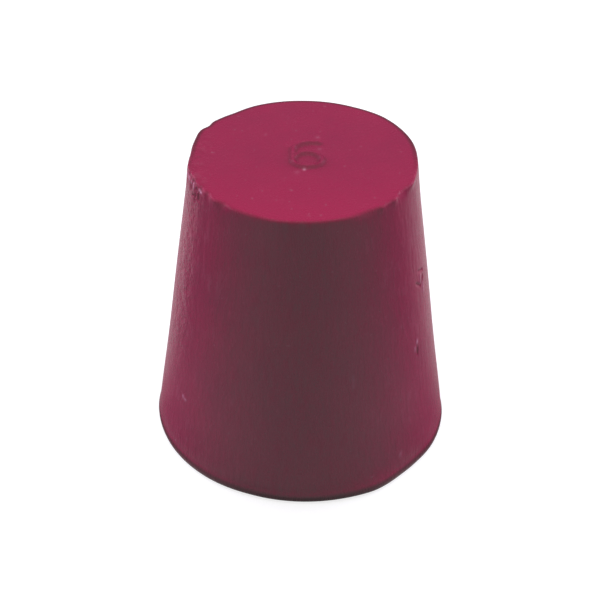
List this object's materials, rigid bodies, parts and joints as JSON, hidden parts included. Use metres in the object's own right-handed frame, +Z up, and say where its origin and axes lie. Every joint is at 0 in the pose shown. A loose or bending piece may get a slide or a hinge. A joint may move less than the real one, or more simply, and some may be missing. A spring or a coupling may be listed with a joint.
{
  "type": "rubber stopper",
  "caption": "Solid tapered rubber stopper for a flask neck, wide end down, with a thin lip at its foot and a raised figure on its shallow-dished narrow end.",
  "frame": {"origin": "centre of the wide end, on the surface the stopper stands on", "axes": "+Z up along the stopper's axis to the narrow end; +Y towards the top of the raised figure, +X to its right"},
  "size_m": [0.024, 0.024, 0.0257],
  "materials": {
    "red_rubber": "matt moulded rubber with a faint bloom"
  },
  "bodies": {
    "root": {"rubber_stopper": "red_rubber"}
  },
  "joints": []
}
